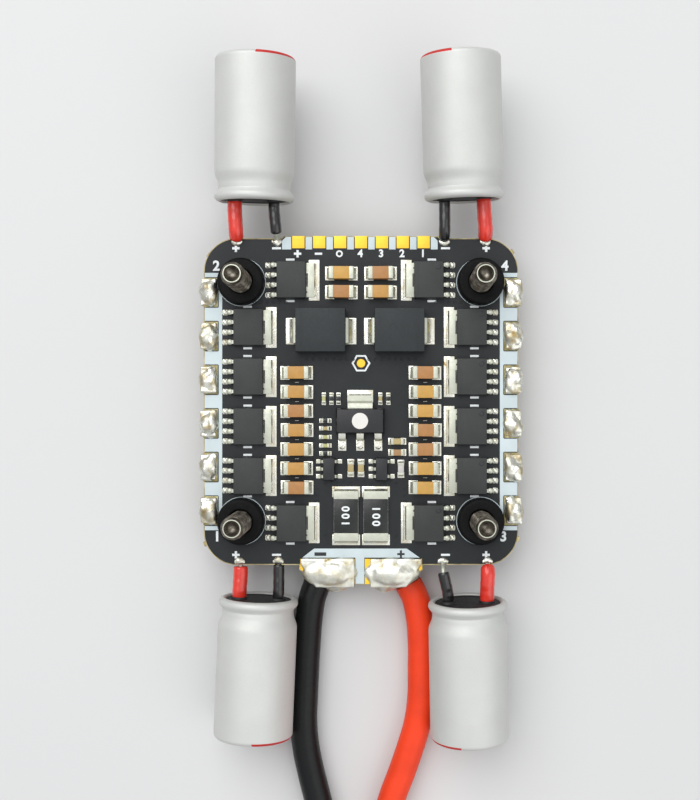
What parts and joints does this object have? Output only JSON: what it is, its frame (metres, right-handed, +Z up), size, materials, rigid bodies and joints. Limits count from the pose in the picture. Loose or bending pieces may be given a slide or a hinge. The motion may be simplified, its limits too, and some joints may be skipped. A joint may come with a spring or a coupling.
{
  "type": "electronic speed controller",
  "caption": "Square multirotor speed controller board with rubber-mounted corners, can capacitors on both ends, side motor pads and a two-wire battery lead with a plug.",
  "frame": {"origin": "on the surface the object stands on, under the centre of its four mounting holes", "axes": "+Z up, out of the board's component face; +Y towards the signal pads; the battery leads leave towards -Y"},
  "size_m": [0.0418, 0.1811, 0.0157],
  "materials": {
    "solder_mask": "matte black solder mask over glass-fibre laminate",
    "grommet_rubber": "soft matte black",
    "blackened_steel": "oiled black oxide worn to bronze",
    "can_aluminium": "satin lacquered aluminium",
    "bung_rubber": "dense matte black",
    "red_sleeve": "smooth glossy sleeving",
    "black_sleeve": "smooth glossy sleeving",
    "transistor_moulding": "fine-grained moulded epoxy",
    "diode_moulding": "blue-black moulded epoxy",
    "chip_moulding": "moulded epoxy",
    "resistor_coating": "black glass coating with tinned ends",
    "capacitor_ceramic": "tan ceramic with tinned ends",
    "solder": "bright solder, frosted in places",
    "tinned_metal": "satin tin plate",
    "gold_pad": "gold over nickel, smooth",
    "silkscreen_white": "printed ink, slightly blue",
    "red_silicone": "soft satin silicone",
    "black_silicone": "soft satin silicone",
    "yellow_nylon": "moulded nylon"
  },
  "bodies": {
    "root": {"circuit_board": "solder_mask", "grommet_front_left": "grommet_rubber", "mounting_screw_front_left": "blackened_steel", "capacitor_can_front_left": "can_aluminium", "capacitor_core_front_left": "bung_rubber", "capacitor_positive_lead_front_left": "red_sleeve", "capacitor_negative_lead_front_left": "black_sleeve", "motor_controller_front_left": "chip_moulding", "grommet_front_right": "grommet_rubber", "mounting_screw_front_right": "blackened_steel", "capacitor_can_front_right": "can_aluminium", "capacitor_core_front_right": "bung_rubber", "capacitor_positive_lead_front_right": "red_sleeve", "capacitor_negative_lead_front_right": "black_sleeve", "motor_controller_front_right": "chip_moulding", "grommet_rear_left": "grommet_rubber", "mounting_screw_rear_left": "blackened_steel", "capacitor_can_rear_left": "can_aluminium", "capacitor_core_rear_left": "bung_rubber", "capacitor_positive_lead_rear_left": "red_sleeve", "capacitor_negative_lead_rear_left": "black_sleeve", "motor_controller_rear_left": "chip_moulding", "grommet_rear_right": "grommet_rubber", "mounting_screw_rear_right": "blackened_steel", "capacitor_can_rear_right": "can_aluminium", "capacitor_core_rear_right": "bung_rubber", "capacitor_positive_lead_rear_right": "red_sleeve", "capacitor_negative_lead_rear_right": "black_sleeve", "motor_controller_rear_right": "chip_moulding", "transistor_left_1": "transistor_moulding", "transistor_left_2": "transistor_moulding", "transistor_left_3": "transistor_moulding", "transistor_left_4": "transistor_moulding", "transistor_front_left": "transistor_moulding", "transistor_rear_left": "transistor_moulding", "underside_transistors_left": "transistor_moulding", "surge_diode_left": "diode_moulding", "shunt_resistor_left": "resistor_coating", "ceramic_capacitors_left": "capacitor_ceramic", "motor_pads_left": "solder", "transistor_right_1": "transistor_moulding", "transistor_right_2": "transistor_moulding", "transistor_right_3": "transistor_moulding", "transistor_right_4": "transistor_moulding", "transistor_front_right": "transistor_moulding", "transistor_rear_right": "transistor_moulding", "underside_transistors_right": "transistor_moulding", "surge_diode_right": "diode_moulding", "shunt_resistor_right": "resistor_coating", "ceramic_capacitors_right": "capacitor_ceramic", "motor_pads_right": "solder", "ceramic_capacitors_front": "capacitor_ceramic", "voltage_regulator": "chip_moulding", "battery_joint_positive": "solder", "battery_joint_negative": "solder", "battery_lead_red": "red_silicone", "battery_lead_black": "black_silicone", "plug_housing": "yellow_nylon", "plug_contact_positive": "gold_pad", "plug_contact_negative": "gold_pad"}
  },
  "joints": []
}
